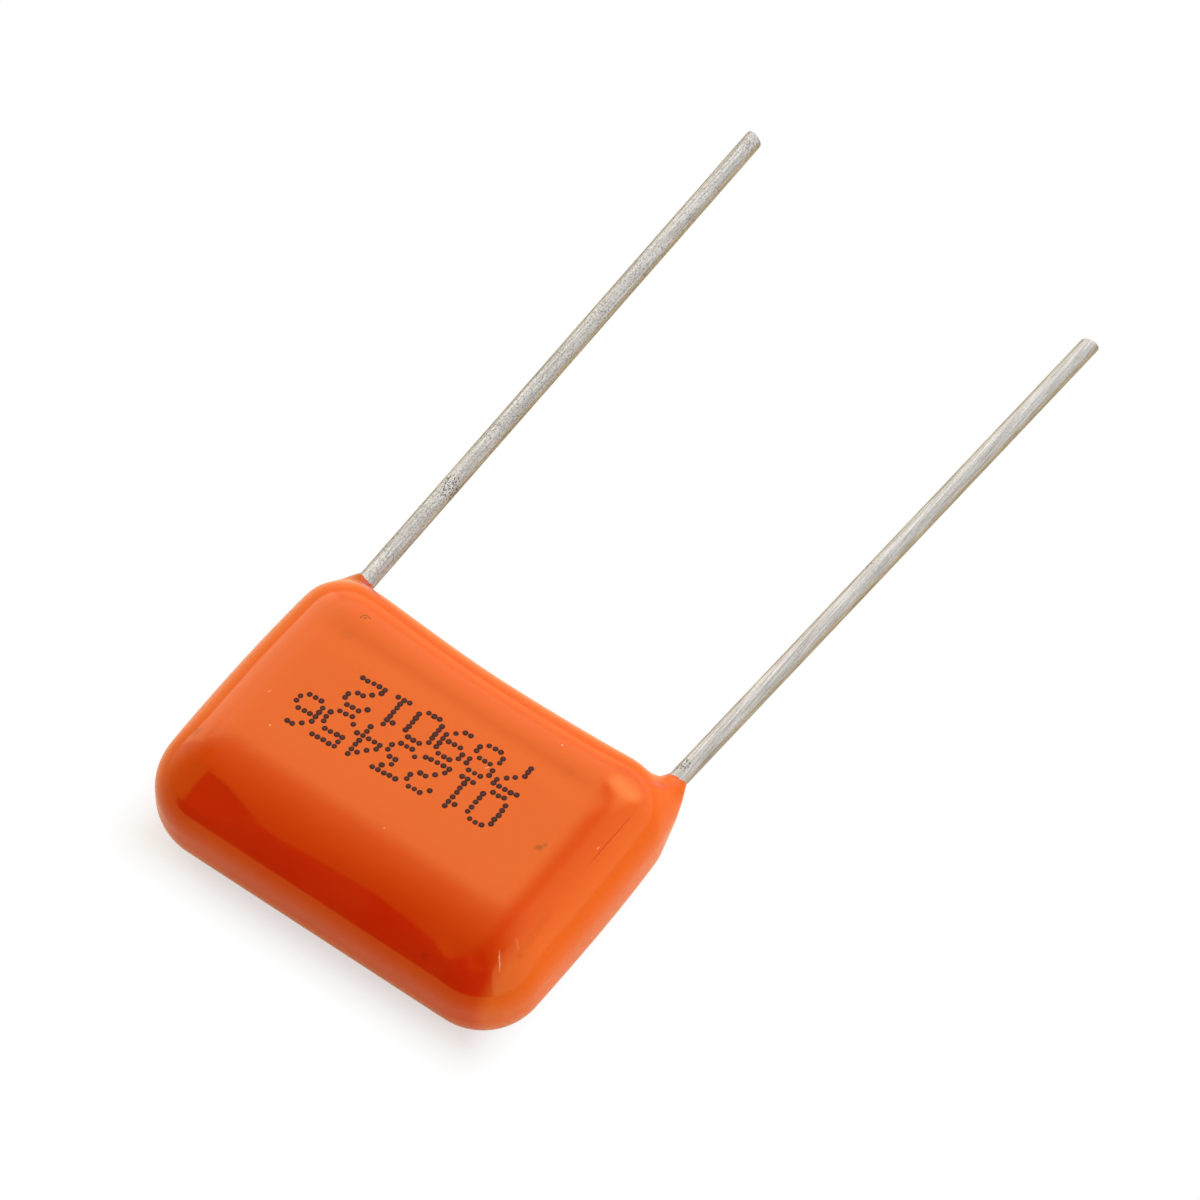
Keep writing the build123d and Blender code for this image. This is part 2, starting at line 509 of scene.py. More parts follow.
def dot_centres():
    """Centres of the ink dots: each set cell of each digit, in columns along -X that grow to -Y."""
    found = []
    for digits, x, y, cell in print_rows:
        for place, digit in enumerate(digits):
            rows = FONT[digit].split()
            for up, line in enumerate(reversed(rows)):
                for column, mark in enumerate(line):
                    if mark == "1":
                        run = place * digit_pitch + (column - 2) * column_pitch
                        found.append((x - run, y - row_fall * run - up * cell))
    centres = np.array(found)
    return centres + np.random.default_rng(5).normal(0, dot_scatter, centres.shape)


def ink_dots(material):
    """The printed dots: each a low dome, a disc of rings whose height falls with the square of
    the distance from its middle, lying on the upper face."""
    centres = dot_centres()
    rings = np.array([0.0, 0.45, 0.8, 1.0, 1.06])
    height = np.array([0.010, 0.009, 0.006, 0.002, -0.006])
    turn = np.linspace(0, 2 * np.pi, 14, endpoint=False)
    x = (rings[:, None] * np.cos(turn)).ravel() * dot_radius
    y = (rings[:, None] * np.sin(turn)).ravel() * dot_radius
    z = np.repeat(height, len(turn))
    size = 1 + np.random.default_rng(7).normal(0, dot_growth, len(centres))
    px = centres[:, :1] + x * size[:, None]
    py = centres[:, 1:] + y * size[:, None]
    pz = thickness + relief(px, py) + z
    points = np.stack([px, py, pz], -1).reshape(-1, 3)
    one = np.array(grid_faces(len(rings), len(turn), True))
    faces = (one[None] + len(x) * np.arange(len(centres))[:, None, None]).reshape(-1, 4)
    piece = mesh_piece("ink_digits", points, faces.tolist(), material)
    found = np.empty(len(piece.data.vertices) * 3)
    piece.data.vertices.foreach_get("co", found)
    plan = found.reshape(-1, 3)[:, None, :2] / MM
    away = np.linalg.norm(plan - centres[None], axis=-1).min(axis=1)
    reach = piece.data.attributes.new("reach", "FLOAT", "POINT")
    reach.data.foreach_set("value", away / dot_radius)
    return piece


# ---------------------------------------------------------------- materials
def bare_material(name):
    """A node material with no nodes yet, and its tree."""
    material = bpy.data.materials.new(name)
    material.use_nodes = True
    material.node_tree.nodes.clear()
    return material, material.node_tree


def surface(tree, inputs):
    """The end of a material's tree: a Principled shader with its inputs, on the output."""
    shader = add(tree, "ShaderNodeBsdfPrincipled", inputs)
    add(tree, "ShaderNodeOutputMaterial", {"Surface": shader})


pinhole = (-5.46, 4.46, 5.64)  # in the skin, with fine ripples on its lead side
ragged_by, wander_by = 0.3, 0.1  # how far in mm noise carries the round and the straight marks
smudges = (
    # X, Y and Z of the middle, radius, strength
    (-5.60, 3.50, 5.70, 0.40, 0.10),
    (6.00, 0.22, 5.70, 0.24, 0.65),
    (6.13, 0.45, 5.70, 0.15, 0.50),
    (-7.85, -3.20, 5.28, 0.34, 0.60),
    (4.90, 3.60, 5.67, 0.40, 0.08),
    (5.00, -5.75, 4.60, 0.30, 0.30),
)
# Dark lines on the right end: painted shade along its crease and valley, the thinnest partly a fine
# scratch
crease_shade_lines = (
    # X and Y of the middle, direction in degrees, half length, half width, strength
    (7.84, 2.50, 90, 1.80, 0.040, 0.55),
    (7.95, -2.50, 93, 1.50, 0.20, 0.15),
    (8.02, -3.60, 93, 0.20, 0.16, 0.25),
)
# Pale streaks on the right end's lower corner: painted highlights
highlight_streaks = (
    (7.57, -4.28, 127, 0.40, 0.040, 0.45),
    (7.74, -3.37, 137, 0.28, 0.07, 0.08),
)
dust = (
    (-6.40, -0.35, 5.68, 0.07, 0.8),
    (-5.50, -1.60, 5.70, 0.06, 0.7),
    (4.00, 4.45, 5.65, 0.06, 0.7),
    (2.30, 1.90, 5.70, 0.05, 0.6),
    (6.70, -4.50, 5.30, 0.09, 0.9),
    (7.66, 1.80, 5.25, 0.05, 0.8),
    (-1.30, 3.95, 5.70, 0.05, 0.5),
    (0.80, -2.60, 5.70, 0.05, 0.5),
)


def mask_edge(tree, place, way, inner, outer):
    """1 within the inner distance in mm of a plane through the origin across a direction, and
    0 beyond the outer one."""
    run = add(tree, "ShaderNodeVectorMath", {0: place, 1: way}, operation="DOT_PRODUCT")
    away = add(tree, "ShaderNodeMath", {0: run}, operation="ABSOLUTE")
    return add(tree, "ShaderNodeMapRange", {
        "Value": away, "From Min": inner * MM, "From Max": outer * MM, "To Min": 1.0, "To Max": 0.0,
    }, interpolation_type="SMOOTHSTEP")


def painted(tree, tone, coats):
    """A colour with others laid over it in turn, each by its own share."""
    for share, colour in coats:
        tone = add(tree, "ShaderNodeMix", {
            "Factor": share, "A": tone, "B": linear(colour),
        }, data_type="RGBA")
    return tone


def spots(tree, place, marks):
    """How strongly round marks show: each fades out from 0.3 of its radius, and the strongest
    counts. Their middles shift by as much as the noise carries a place on average."""
    mask, shift = 0.0, ragged_by / 2
    for x, y, z, radius, strength in marks:
        middle = Vector((x + shift, y + shift, z + shift)) * MM
        away = add(tree, "ShaderNodeVectorMath", {0: place, 1: middle}, operation="DISTANCE")
        spot = add(tree, "ShaderNodeMapRange", {
            "Value": away, "From Min": 0.3 * radius * MM, "From Max": radius * MM,
            "To Min": strength, "To Max": 0.0,
        }, interpolation_type="SMOOTHSTEP")
        mask = add(tree, "ShaderNodeMath", {0: mask, 1: spot}, operation="MAXIMUM")
    return mask


def strokes(tree, place, height, marks):
    """How strongly straight marks show on the coat's upper part: each fades out towards its
    ends and its edges, and the strongest counts."""
    mask = 0.0
    for x, y, angle, half_length, half_breadth, strength in marks:
        turn = math.radians(angle)
        here = add(tree, "ShaderNodeVectorMath", {
            0: place, 1: Vector((x, y, 0)) * MM,
        }, operation="SUBTRACT")
        fades = [mask_edge(tree, here, way, *ends) for way, ends in (
            ((math.cos(turn), math.sin(turn), 0), (0.35 * half_length, half_length)),
            ((-math.sin(turn), math.cos(turn), 0), (0.25 * half_breadth, half_breadth)),
        )]
        line = add(tree, "ShaderNodeMath", {0: fades[0], 1: fades[1]}, operation="MULTIPLY")
        shown = add(tree, "ShaderNodeMath", {0: line, 1: strength}, operation="MULTIPLY")
        mask = add(tree, "ShaderNodeMath", {0: mask, 1: shown}, operation="MAXIMUM")
    upper = add(tree, "ShaderNodeMath", {0: height, 1: 3.6 * MM}, operation="GREATER_THAN")
    return add(tree, "ShaderNodeMath", {0: mask, 1: upper}, operation="MULTIPLY")


def pinhole_ripples(tree, place):
    """Fine rings round the pinhole, on its lead side only."""
    beside = add(tree, "ShaderNodeVectorMath", {
        0: place, 1: Vector(pinhole) * MM,
    }, operation="SUBTRACT")
    round_hole = add(tree, "ShaderNodeVectorMath", {0: beside}, operation="LENGTH")
    ripple = add(tree, "ShaderNodeMath", {0: round_hole, 1: 0.06 * MM}, operation="PINGPONG")
    crest = add(tree, "ShaderNodeMapRange", {
        "Value": ripple, "From Min": 0.02 * MM, "From Max": 0.055 * MM,
        "To Min": 0.0, "To Max": 0.95,
    })
    near = add(tree, "ShaderNodeMapRange", {
        "Value": round_hole, "From Min": 0.21 * MM, "From Max": 0.24 * MM,
        "To Min": 1.0, "To Max": 0.0,
    })
    leadwards = add(tree, "ShaderNodeVectorMath", {
        0: beside, 1: (-0.57, 0.82, 0.0),
    }, operation="DOT_PRODUCT")
    open_side = add(tree, "ShaderNodeMath", {0: leadwards, 1: 0.0}, operation="GREATER_THAN")
    ringed = add(tree, "ShaderNodeMath", {0: crest, 1: near}, operation="MULTIPLY")
    return add(tree, "ShaderNodeMath", {0: ringed, 1: open_side}, operation="MULTIPLY")


def resin_tone(tree, place, axes):
    """The resin's colour, with light painted in. It is paler below the upper face, where the coat
    runs thin, with painted light on the sides. It is deeper red towards the far side, a painted
    dark reflection there. It is mottled, and brown where it is thin on the left neck."""
    edges, far_side_ramp, from_left, to_right, collar = (
        add(tree, "ShaderNodeMapRange", {
            "Value": axes.outputs[axis], "From Min": start * MM, "From Max": end * MM,
            "To Min": before, "To Max": after,
        }, interpolation_type="SMOOTHSTEP")
        for axis, start, end, before, after in (
            # the sides below the upper face: paler where the coat runs thin, and painted lighter as
            # if lit
            ("Z", 4.7, 5.6, 1.0, 0.0),
            # the far side: painted deeper red, standing in for its dark reflection
            ("Y", -5.0, -1.2, 1.0, 0.0),
            ("X", -8.9, -6.9, 0.15, 1.0),
            ("X", 7.35, 8.0, 1.0, 0.0),
            ("Y", 6.20, 6.95, 0.0, 1.0),
        )
    )
    one_side = add(tree, "ShaderNodeMapRange", {
        "Value": axes.outputs["X"], "From Min": -6.9 * MM, "From Max": -6.2 * MM,
        "To Min": 0.85, "To Max": 0.15,
    })
    between = add(tree, "ShaderNodeMath", {0: from_left, 1: to_right}, operation="MULTIPLY")
    painted_far_reflection = add(tree, "ShaderNodeMath", {0: far_side_ramp, 1: between}, operation="MULTIPLY")
    thin = add(tree, "ShaderNodeMath", {0: collar, 1: one_side}, operation="MULTIPLY")
    cloud = add(tree, "ShaderNodeTexNoise", {
        "Vector": place, "Scale": 1 / (3.0 * MM), "Detail": 3.0,
    })
    mottle = add(tree, "ShaderNodeMapRange", {
        "Value": cloud.outputs["Fac"], "From Min": 0.35, "From Max": 0.7,
        "To Min": 0.0, "To Max": 0.18,
    })
    # EA591A paints light on the sides, and #DC2A04 is the painted dark reflection on the far side
    return painted(tree, linear("#E34612"), (
        (edges, "#EA591A"), (painted_far_reflection, "#DC2A04"), (mottle, "#E84A1A"), (thin, "#BC3A12"),
    ))


def dipped_epoxy():
    """Orange epoxy, dip coated and cured: a deep glossy skin with faint orange peel. It is paler
    where it runs thin over the edges, with painted light on them, and painted deeper red on the far
    side for its dark reflection. It is deeper on the necks, and has painted crease shade and
    painted highlights on the right end."""
    material, tree = bare_material("dipped_orange_epoxy")
    place = add(tree, "ShaderNodeTexCoord").outputs["Object"]
    axes = add(tree, "ShaderNodeSeparateXYZ", {"Vector": place})
    warp = add(tree, "ShaderNodeTexNoise", {
        "Vector": place, "Scale": 1 / (0.25 * MM), "Detail": 2.0,
    })
    ragged = add(tree, "ShaderNodeVectorMath", {
        0: warp.outputs["Color"], 1: (ragged_by * MM,) * 3, 2: place,
    }, operation="MULTIPLY_ADD")
    wandering = add(tree, "ShaderNodeVectorMath", {
        0: warp.outputs["Color"], 1: (wander_by * MM,) * 3, 2: place,
    }, operation="MULTIPLY_ADD")
    spotted, dusty = (spots(tree, ragged, marks) for marks in (smudges, dust))
    spotted = add(tree, "ShaderNodeMath", {
        0: spotted, 1: pinhole_ripples(tree, place),
    }, operation="MAXIMUM")
    # dark is the painted crease shade, and bright the painted highlight streaks
    dark, bright = (
        strokes(tree, wandering, axes.outputs["Z"], marks) for marks in (crease_shade_lines, highlight_streaks)
    )
    # dust specks together with the painted highlight streaks, both laid on in #FFD9B8
    dust_and_highlight = add(tree, "ShaderNodeMath", {0: dusty, 1: bright}, operation="MAXIMUM")
    # BE1C00 is the painted shade of the right end's crease and valley
    tone = painted(tree, resin_tone(tree, place, axes), (
        (spotted, "#8E2004"), (dark, "#BE1C00"), (dust_and_highlight, "#FFD9B8"),
    ))
    peel = add(tree, "ShaderNodeTexNoise", {
        "Vector": place, "Scale": 1 / (0.35 * MM), "Detail": 2.0,
    })
    bump = add(tree, "ShaderNodeBump", {
        "Height": peel.outputs["Fac"], "Strength": 0.06, "Distance": 0.02 * MM,
    })
    surface(tree, {
        "Base Color": tone, "Roughness": 0.12, "IOR": 1.55, "Normal": bump,
        "Specular IOR Level": 0.65, "Specular Tint": linear("#FFF484"),
    })
    return material


scuffs = (
    # X, Y and Z of the middle, and radius
    (7.35, 7.75, 3.20, 0.42),
    (-7.40, 12.50, 3.20, 0.80),
    (7.70, 19.50, 3.20, 0.35),
)


def tinned_wire():
    """Tinned copper-clad steel, drawn and hot dipped: a dull silver skin with die lines along it
    and dark scuffs where the feeder gripped it."""
    material, tree = bare_material("drawn_tinned_wire")
    place = add(tree, "ShaderNodeTexCoord").outputs["Object"]
    drawn = add(tree, "ShaderNodeMapping", {"Vector": place, "Scale": (1.0, 0.03, 1.0)})
    streak = add(tree, "ShaderNodeTexNoise", {
        "Vector": drawn, "Scale": 1 / (0.07 * MM), "Detail": 3.0,
    })
    rubbed = add(tree, "ShaderNodeMapping", {"Vector": place, "Scale": (1.0, 0.6, 1.0)})
    grain = add(tree, "ShaderNodeTexNoise", {
        "Vector": rubbed, "Scale": 1 / (0.055 * MM), "Detail": 2.0,
    })
    tone = add(tree, "ShaderNodeMix", {
        "Factor": add(tree, "ShaderNodeMapRange", {
            "Value": streak.outputs["Fac"], "From Min": 0.3, "From Max": 0.7,
        }),
        "A": linear("#A8A4A3"), "B": linear("#DAD7D8"),
    }, data_type="RGBA")
    worn = add(tree, "ShaderNodeTexNoise", {
        "Vector": place, "Scale": 1 / (1.6 * MM), "Detail": 2.0,
    })
    patch = add(tree, "ShaderNodeMapRange", {
        "Value": worn.outputs["Fac"], "From Min": 0.40, "From Max": 0.62,
        "To Min": 0.6, "To Max": 1.0,
    })
    handled = add(tree, "ShaderNodeMapRange", {
        "Value": add(tree, "ShaderNodeSeparateXYZ", {"Vector": place}).outputs["X"],
        "From Min": -2.0 * MM, "From Max": 2.0 * MM, "To Min": 0.75, "To Max": 0.25,
    })
    wear = add(tree, "ShaderNodeMath", {0: patch, 1: handled}, operation="MULTIPLY")
    for x, y, z, radius in scuffs:
        away = add(tree, "ShaderNodeVectorMath", {
            0: place, 1: Vector((x, y, z)) * MM,
        }, operation="DISTANCE")
        scuff = add(tree, "ShaderNodeMapRange", {
            "Value": away, "From Min": 0.4 * radius * MM, "From Max": radius * MM,
            "To Min": 1.6, "To Max": 0.0,
        }, interpolation_type="SMOOTHSTEP")
        wear = add(tree, "ShaderNodeMath", {0: wear, 1: scuff}, operation="MAXIMUM")
    pit = add(tree, "ShaderNodeMapRange", {
        "Value": grain.outputs["Fac"], "From Min": 0.48, "From Max": 0.68,
    })
    speck = add(tree, "ShaderNodeMix", {
        "Factor": add(tree, "ShaderNodeMath", {
            0: wear, 1: pit,
        }, operation="MULTIPLY", use_clamp=True),
        "A": tone, "B": linear("#5B564E"),
    }, data_type="RGBA")
    bump = add(tree, "ShaderNodeBump", {
        "Height": streak.outputs["Fac"], "Strength": 0.25, "Distance": 0.01 * MM,
    })
    surface(tree, {
        "Base Color": speck, "Metallic": 0.85, "Roughness": 0.48, "Normal": bump,
        "Specular Tint": linear("#C4D2FF"),
    })
    return material


def marking_ink():
    """Solvent ink jetted as dots: near black with a warm cast and a dull dried skin, thinner
    and redder in the middle of each dot."""
    material, tree = bare_material("jetted_black_ink")
    place = add(tree, "ShaderNodeTexCoord").outputs["Object"]
    grain = add(tree, "ShaderNodeTexNoise", {
        "Vector": place, "Scale": 1 / (0.08 * MM), "Detail": 2.0,
    })
    tone = add(tree, "ShaderNodeMix", {
        "Factor": grain.outputs["Fac"], "A": linear("#2C130F"), "B": linear("#421C15"),
    }, data_type="RGBA")
    reach = add(tree, "ShaderNodeAttribute", attribute_name="reach")
    middle = add(tree, "ShaderNodeMapRange", {
        "Value": reach.outputs["Fac"], "From Min": 0.25, "From Max": 0.75,
        "To Min": 0.45, "To Max": 0.0,
    })
    thin = add(tree, "ShaderNodeMix", {
        "Factor": middle, "A": tone, "B": linear("#7A3222"),
    }, data_type="RGBA")
    surface(tree, {"Base Color": thin, "Roughness": 0.6, "Specular IOR Level": 0.25})
    return material


def metallised_film():
    """Polypropylene film, metallised with zinc and wound flat: smooth silver with fine lines."""
    material, tree = bare_material("wound_metallised_film")
    place = add(tree, "ShaderNodeTexCoord").outputs["Object"]
    lines = add(tree, "ShaderNodeTexWave", {
        "Vector": place, "Scale": 1 / (0.4 * MM), "Distortion": 0.6,
    }, bands_direction="X")
    tone = add(tree, "ShaderNodeMix", {
        "Factor": lines.outputs["Fac"], "A": linear("#B4B5B8"), "B": linear("#CFD0D3"),
    }, data_type="RGBA")
    surface(tree, {"Base Color": tone, "Metallic": 0.7, "Roughness": 0.3})
    return material


def sprayed_zinc():
    """Zinc sprayed molten on the film's edges: a dull, grainy, porous grey crust."""
    material, tree = bare_material("arc_sprayed_zinc")
    place = add(tree, "ShaderNodeTexCoord").outputs["Object"]
    grit = add(tree, "ShaderNodeTexNoise", {
        "Vector": place, "Scale": 1 / (0.15 * MM), "Detail": 6.0,
    })
    tone = add(tree, "ShaderNodeMix", {
        "Factor": grit.outputs["Fac"], "A": linear("#77797B"), "B": linear("#A5A7A9"),
    }, data_type="RGBA")
    bump = add(tree, "ShaderNodeBump", {
        "Height": grit.outputs["Fac"], "Strength": 0.6, "Distance": 0.05 * MM,
    })
    surface(tree, {"Base Color": tone, "Metallic": 0.8, "Roughness": 0.75, "Normal": bump})
    return material


def seen_directly(tree):
    """1 for camera, glossy and transmission rays, 0 for the rest."""
    path = add(tree, "ShaderNodeLightPath")
    first = add(tree, "ShaderNodeMath", {
        0: path.outputs["Is Camera Ray"], 1: path.outputs["Is Glossy Ray"],
    }, operation="MAXIMUM")
    return add(tree, "ShaderNodeMath", {
        0: first, 1: path.outputs["Is Transmission Ray"],
    }, operation="MAXIMUM")


# ---------------------------------------------------------------- stage
def stage_plane(name, corners, material):
    """A flat four-cornered sheet of the set, from its corners in metres."""
    mesh = bpy.data.meshes.new(name)
    mesh.from_pydata(corners, [], [(0, 1, 2, 3)])
    mesh.materials.append(material)
    sheet = bpy.data.objects.new(name, mesh)
    bpy.context.scene.collection.objects.link(sheet)
    return sheet


def rectangle(low, high):
    """The four corners of a level or upright rectangle, in turn, from two opposite ones."""
    first = 0 if low[0] != high[0] else 1
    second = tuple(high[i] if i == first else low[i] for i in range(3))
    fourth = tuple(low[i] if i == first else high[i] for i in range(3))
    return [low, second, high, fourth]


clear = 0.001  # metres between the board and the sheets that stand over it


def white_floor():
    """Matt white board: true shading and shadow round the object, plain white further out, and a
    warm painted glow where the gloss reflects it.
    """
    material, tree = bare_material("matt_white_board")
    place = add(tree, "ShaderNodeTexCoord").outputs["Object"]
    shifted = add(tree, "ShaderNodeVectorMath", {
        0: place, 1: (0.8 * MM, 1.0 * MM, 0),
    }, operation="ADD")
    folded = add(tree, "ShaderNodeVectorMath", {0: shifted}, operation="ABSOLUTE")
    outside = add(tree, "ShaderNodeVectorMath", {
        0: folded, 1: (7.5 * MM, 4.5 * MM, 0),
    }, operation="SUBTRACT")
    past = add(tree, "ShaderNodeVectorMath", {0: outside, 1: (0, 0, 0)}, operation="MAXIMUM")
    gap = add(tree, "ShaderNodeVectorMath", {0: past}, operation="LENGTH")
    seen_share, gloss_share = (
        add(tree, "ShaderNodeMapRange", {
            "Value": gap, "From Min": start * MM, "From Max": end * MM, "To Min": least,
        }, interpolation_type="SMOOTHSTEP")
        for start, end, least in ((-0.6, 2.1, 0.55), (0.0, 15.0, 0.3))
    )
    board = add(tree, "ShaderNodeBsdfDiffuse", {"Color": linear("#FCFCFC")})
    path = add(tree, "ShaderNodeLightPath")
    bounced = add(tree, "ShaderNodeMath", {
        0: path.outputs["Is Glossy Ray"], 1: path.outputs["Is Transmission Ray"],
    }, operation="MAXIMUM")
    # In reflections the board glows warm yellow: a painted warm reflection on the gloss
    tint = add(tree, "ShaderNodeMix", {
        "Factor": bounced, "A": (1, 1, 1, 1), "B": linear("#F0D28C"),
    }, data_type="RGBA")
    glow = add(tree, "ShaderNodeEmission", {"Color": tint, "Strength": 1.0})
    direct = add(tree, "ShaderNodeMath", {
        0: path.outputs["Is Camera Ray"], 1: seen_share,
    }, operation="MULTIPLY")
    mirrored = add(tree, "ShaderNodeMath", {0: bounced, 1: gloss_share}, operation="MULTIPLY")
    share = add(tree, "ShaderNodeMath", {0: direct, 1: mirrored}, operation="MAXIMUM")
    mixed = add(tree, "ShaderNodeMixShader", {0: share, 1: board, 2: glow})
    add(tree, "ShaderNodeOutputMaterial", {"Surface": mixed})
    half = 1.5
    return stage_plane("floor", rectangle((-half, -half, 0), (half, half, 0)), material)


def dark_card():
    """A dark card in front of the set, out of the camera's sight, that the gloss reflects. Its
    left end catches some warm light, and soft light spills past its right end."""
    material, tree = bare_material("black_felt_card")
    y, left, right, top = -0.43, -0.47, 0.50, 0.60
    axes = add(tree, "ShaderNodeSeparateXYZ", {
        "Vector": add(tree, "ShaderNodeTexCoord").outputs["Object"],
    })
    lit, spill = (
        add(tree, "ShaderNodeMapRange", {
            "Value": axes.outputs["X"], "From Min": start, "From Max": end,
            "To Min": before, "To Max": after,
        }, interpolation_type="SMOOTHSTEP")
        for start, end, before, after in ((left, left + 0.11, 0.6, 0.0), (0.22, 0.42, 0.0, 1.9))
    )
    scattered = add(tree, "ShaderNodeLightPath").outputs["Is Diffuse Ray"]
    spilt = add(tree, "ShaderNodeMath", {0: spill, 1: scattered}, operation="MULTIPLY")
    level = add(tree, "ShaderNodeMath", {0: lit, 1: spilt}, operation="MAXIMUM")
    tint = add(tree, "ShaderNodeMix", {
        "Factor": scattered, "A": linear("#FFF466"), "B": (1, 1, 1, 1),
    }, data_type="RGBA")
    surface(tree, {
        "Base Color": (0.02, 0.02, 0.02, 1), "Roughness": 0.9, "Specular IOR Level": 0.0,
        "Emission Color": tint, "Emission Strength": level,
    })
    card = stage_plane("front_card", rectangle((left, y, clear), (right, y, top)), material)
    card.visible_camera = False
    return card


def soft_ceiling():
    """A lit sheet overhead: bright and white behind the object, warmer and dim in front and along
    a seam right of the middle."""
    material, tree = bare_material("lit_ceiling_sheet")
    place = add(tree, "ShaderNodeTexCoord").outputs["Object"]
    axes = add(tree, "ShaderNodeSeparateXYZ", {"Vector": place})
    run = add(tree, "ShaderNodeMapRange", {
        "Value": axes.outputs["Y"], "From Min": -0.42, "From Max": 0.30,
    })
    fall = add(tree, "ShaderNodeValToRGB", {"Fac": run})
    ramp = fall.color_ramp
    # share of the way from front to back, and level
    stops = ((0.0, 0.37), (0.2, 0.42), (0.46, 0.6), (0.65, 0.84), (0.8, 0.93), (1.0, 1.0))
    ramp.elements[0].position, ramp.elements[1].position = stops[0][0], stops[-1][0]
    for position, _ in stops[1:-1]:
        ramp.elements.new(position)
    for element, (_, level) in zip(ramp.elements, stops):
        element.color = (level, level, level, 1)
    back, left, whiter = (
        add(tree, "ShaderNodeMapRange", {
            "Value": axes.outputs[axis], "From Min": start, "From Max": end,
            "To Min": before, "To Max": after,
        }, interpolation_type="SMOOTHSTEP")
        for axis, start, end, before, after in (
            ("Y", 0.08, 0.27, 0.0, 0.85),
            ("X", -0.13, 0.10, 1.0, 0.0),
            ("Y", -0.12, 0.20, 0.0, 1.0),
        )
    )
    key = add(tree, "ShaderNodeMath", {0: back, 1: left}, operation="MULTIPLY")
    plain = add(tree, "ShaderNodeMath", {0: fall.outputs["Color"], 1: key}, operation="ADD")
    from_seam = add(tree, "ShaderNodeMath", {0: axes.outputs["X"], 1: 0.16}, operation="SUBTRACT")
    seam = add(tree, "ShaderNodeMapRange", {
        "Value": add(tree, "ShaderNodeMath", {0: from_seam}, operation="ABSOLUTE"),
        "From Min": 0.0, "From Max": 0.17, "To Min": 0.45, "To Max": 0.0,
    }, interpolation_type="SMOOTHSTEP")
    clear = add(tree, "ShaderNodeMath", {0: 1.0, 1: seam}, operation="SUBTRACT")
    level = add(tree, "ShaderNodeMath", {0: plain, 1: clear}, operation="MULTIPLY")
    tint = add(tree, "ShaderNodeMix", {
        "Factor": add(tree, "ShaderNodeMath", {0: whiter, 1: clear}, operation="MULTIPLY"),
        "A": linear("#FFFA84"), "B": (1, 1, 1, 1),
    }, data_type="RGBA")
    glow = add(tree, "ShaderNodeEmission", {"Color": tint, "Strength": level})
    add(tree, "ShaderNodeOutputMaterial", {"Surface": glow})
    corners = rectangle((-1.0, -0.43, 0.60), (0.42, 1.5, 0.60))
    sheet = stage_plane("ceiling_sheet", corners, material)
    sheet.visible_camera = False
    return sheet


def warm_wing():
    """An upright sheet at the card's left end that only the gloss sees: dim and warm in front
    and overhead, and white behind and below."""
    material, tree = bare_material("lit_wing_sheet")
    axes = add(tree, "ShaderNodeSeparateXYZ", {
        "Vector": add(tree, "ShaderNodeTexCoord").outputs["Object"],
    })
    lowered = add(tree, "ShaderNodeMath", {
        0: axes.outputs["Z"], 1: -0.5, 2: axes.outputs["Y"],
    }, operation="MULTIPLY_ADD")
    run = add(tree, "ShaderNodeMapRange", {
        "Value": lowered, "From Min": -0.26, "From Max": 0.02,
    }, interpolation_type="SMOOTHSTEP")
    level = add(tree, "ShaderNodeMapRange", {"Value": run, "To Min": 0.62, "To Max": 1.0})
    tint = add(tree, "ShaderNodeMix", {
        "Factor": run, "A": linear("#FFF466"), "B": (1, 1, 1, 1),
    }, data_type="RGBA")
    glow = add(tree, "ShaderNodeEmission", {"Color": tint, "Strength": level})
    add(tree, "ShaderNodeOutputMaterial", {"Surface": glow})
    corners = rectangle((-0.47, -0.43, clear), (-0.47, 0.04, 0.60))
    sheet = stage_plane("wing_sheet", corners, material)
    sheet.visible_camera = sheet.visible_diffuse = sheet.visible_shadow = False
    return sheet


def soft_panel(name, middle, width, height, level, edge, tint):
    """A lit panel that faces the object, fading out over the given share of it at each edge."""
    material, tree = bare_material(name)
    corner = add(tree, "ShaderNodeSeparateXYZ", {
        "Vector": add(tree, "ShaderNodeTexCoord").outputs["UV"],
    })
    fades = []
    for axis in "XY":
        centred = add(tree, "ShaderNodeMath", {
            0: corner.outputs[axis], 1: 0.5,
        }, operation="SUBTRACT")
        away = add(tree, "ShaderNodeMath", {0: centred}, operation="ABSOLUTE")
        fades.append(add(tree, "ShaderNodeMapRange", {
            "Value": away, "From Min": 0.5 - edge, "From Max": 0.5, "To Min": 1.0, "To Max": 0.0,
        }, interpolation_type="SMOOTHSTEP"))
    fade = add(tree, "ShaderNodeMath", {0: fades[0], 1: fades[1]}, operation="MULTIPLY")
    glow = add(tree, "ShaderNodeEmission", {"Color": linear(tint), "Strength": level})
    clear = add(tree, "ShaderNodeBsdfTransparent")
    mixed = add(tree, "ShaderNodeMixShader", {0: fade, 1: clear, 2: glow})
    add(tree, "ShaderNodeOutputMaterial", {"Surface": mixed})
    centre = Vector(middle)
    side = Vector((0, 0, 1)).cross(-centre).normalized()
    rise = (-centre).cross(side).normalized()
    signs = ((-1, -1), (1, -1), (1, 1), (-1, 1))
    corners = [centre + side * width * i / 2 + rise * height * j / 2 for i, j in signs]
    panel = stage_plane(name, [tuple(c) for c in corners], material)
    layer = panel.data.uv_layers.new(name="across")
    for loop, (i, j) in zip(layer.data, signs):
        loop.uv = (i + 1) / 2, (j + 1) / 2
    panel.visible_camera = False
    return panel


def studio_world(ambient):
    """White to the eye and in reflections, and an even light of its own level on the rest."""
    world = bpy.data.worlds.new("studio")
    world.use_nodes = True
    tree = world.node_tree
    tree.nodes.clear()
    strength = add(tree, "ShaderNodeMapRange", {
        "Value": seen_directly(tree), "To Min": ambient, "To Max": 1.0,
    })
    back = add(tree, "ShaderNodeBackground", {"Color": (1, 1, 1, 1), "Strength": strength})
    add(tree, "ShaderNodeOutputWorld", {"Surface": back})
    bpy.context.scene.world = world


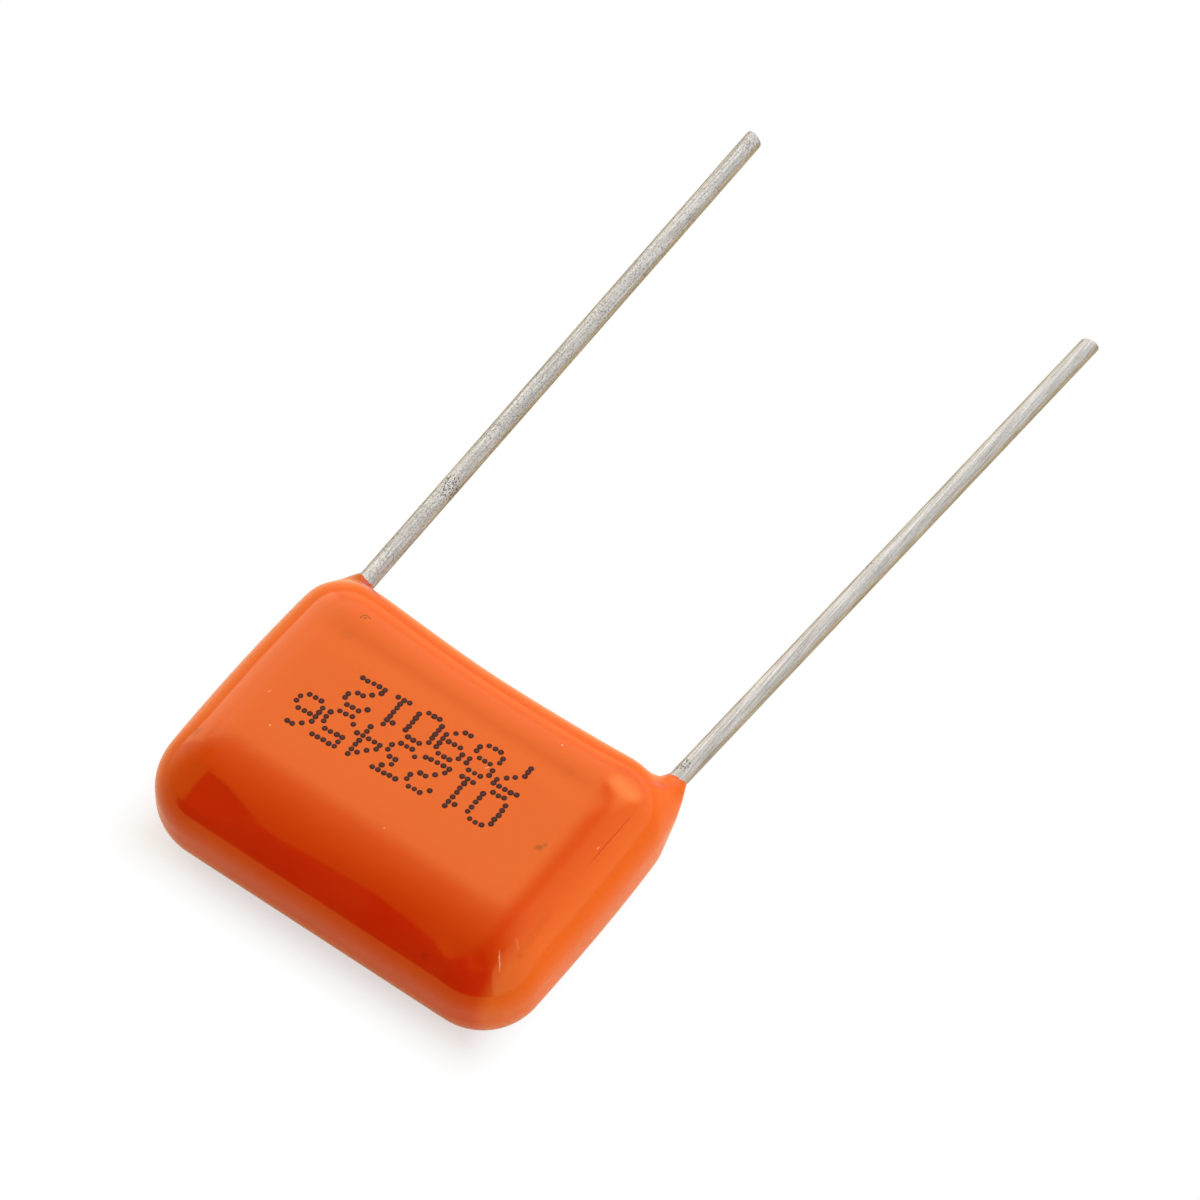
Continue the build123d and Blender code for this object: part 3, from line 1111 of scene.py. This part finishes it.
def camera_at(aim, distance, azimuth, elevation, roll, lens):
    """A level camera at a distance in metres from the aim point, then rolled. Its azimuth runs
    from -Y towards +X; angles are in degrees, and the lens is in mm on a 36 mm sensor."""
    a, e = math.radians(azimuth), math.radians(elevation)
    back = Vector((math.sin(a) * math.cos(e), -math.cos(a) * math.cos(e), math.sin(e)))
    right = Vector((math.cos(a), math.sin(a), 0.0))
    right.rotate(Matrix.Rotation(math.radians(roll), 3, back))
    up = back.cross(right)
    turn = Matrix((right, up, back)).transposed().to_4x4()
    data = bpy.data.cameras.new("camera")
    data.lens, data.sensor_width = lens, 36.0
    data.clip_start, data.clip_end = 0.01, 10.0
    camera = bpy.data.objects.new("camera", data)
    camera.matrix_world = Matrix.Translation(Vector(aim) + back * distance) @ turn
    bpy.context.scene.collection.objects.link(camera)
    bpy.context.scene.camera = camera


# ---------------------------------------------------------------- build
film, zinc = metallised_film(), sprayed_zinc()
for node, material in (("film_winding", film), ("end_spray_left", zinc), ("end_spray_right", zinc)):
    skins = frame["nodes"][node].data.materials
    skins.clear()
    skins.append(material)

dipped_coat(dipped_epoxy())
wire_skin = tinned_wire()
tinned_lead("tinned_lead_left", "lead_wire_left", pins["lead_left"], -1, 12.0, wire_skin)
tinned_lead("tinned_lead_right", "lead_wire_right", pins["lead_right"], 1, 14.0, wire_skin)
ink_dots(marking_ink())

white_floor()
dark_card()
soft_ceiling()
warm_wing()
for panel in (
    # name, middle, width and height in metres, level, share that fades, tint
    ("back_panel", (0.13, 0.47, 0.36), 0.42, 0.50, 3.2, 0.46, "#FFFFFF"),
    ("back_sheet", (-0.45, 1.05, 0.14), 1.3, 1.0, 1.72, 0.42, "#FFEEC0"),
    ("left_panel", (-0.47, 0.22, 0.13), 0.40, 0.28, 1.85, 0.06, "#FFF8EC"),
):
    soft_panel(*panel)
studio_world(ambient=1.38)
camera_at(
    aim=(0.000284, 0.012017, 0.00285), distance=0.402522,
    azimuth=34.82, elevation=58.13, roll=1.712, lens=309.99,
)
bpy.context.scene.view_settings.view_transform = "Standard"
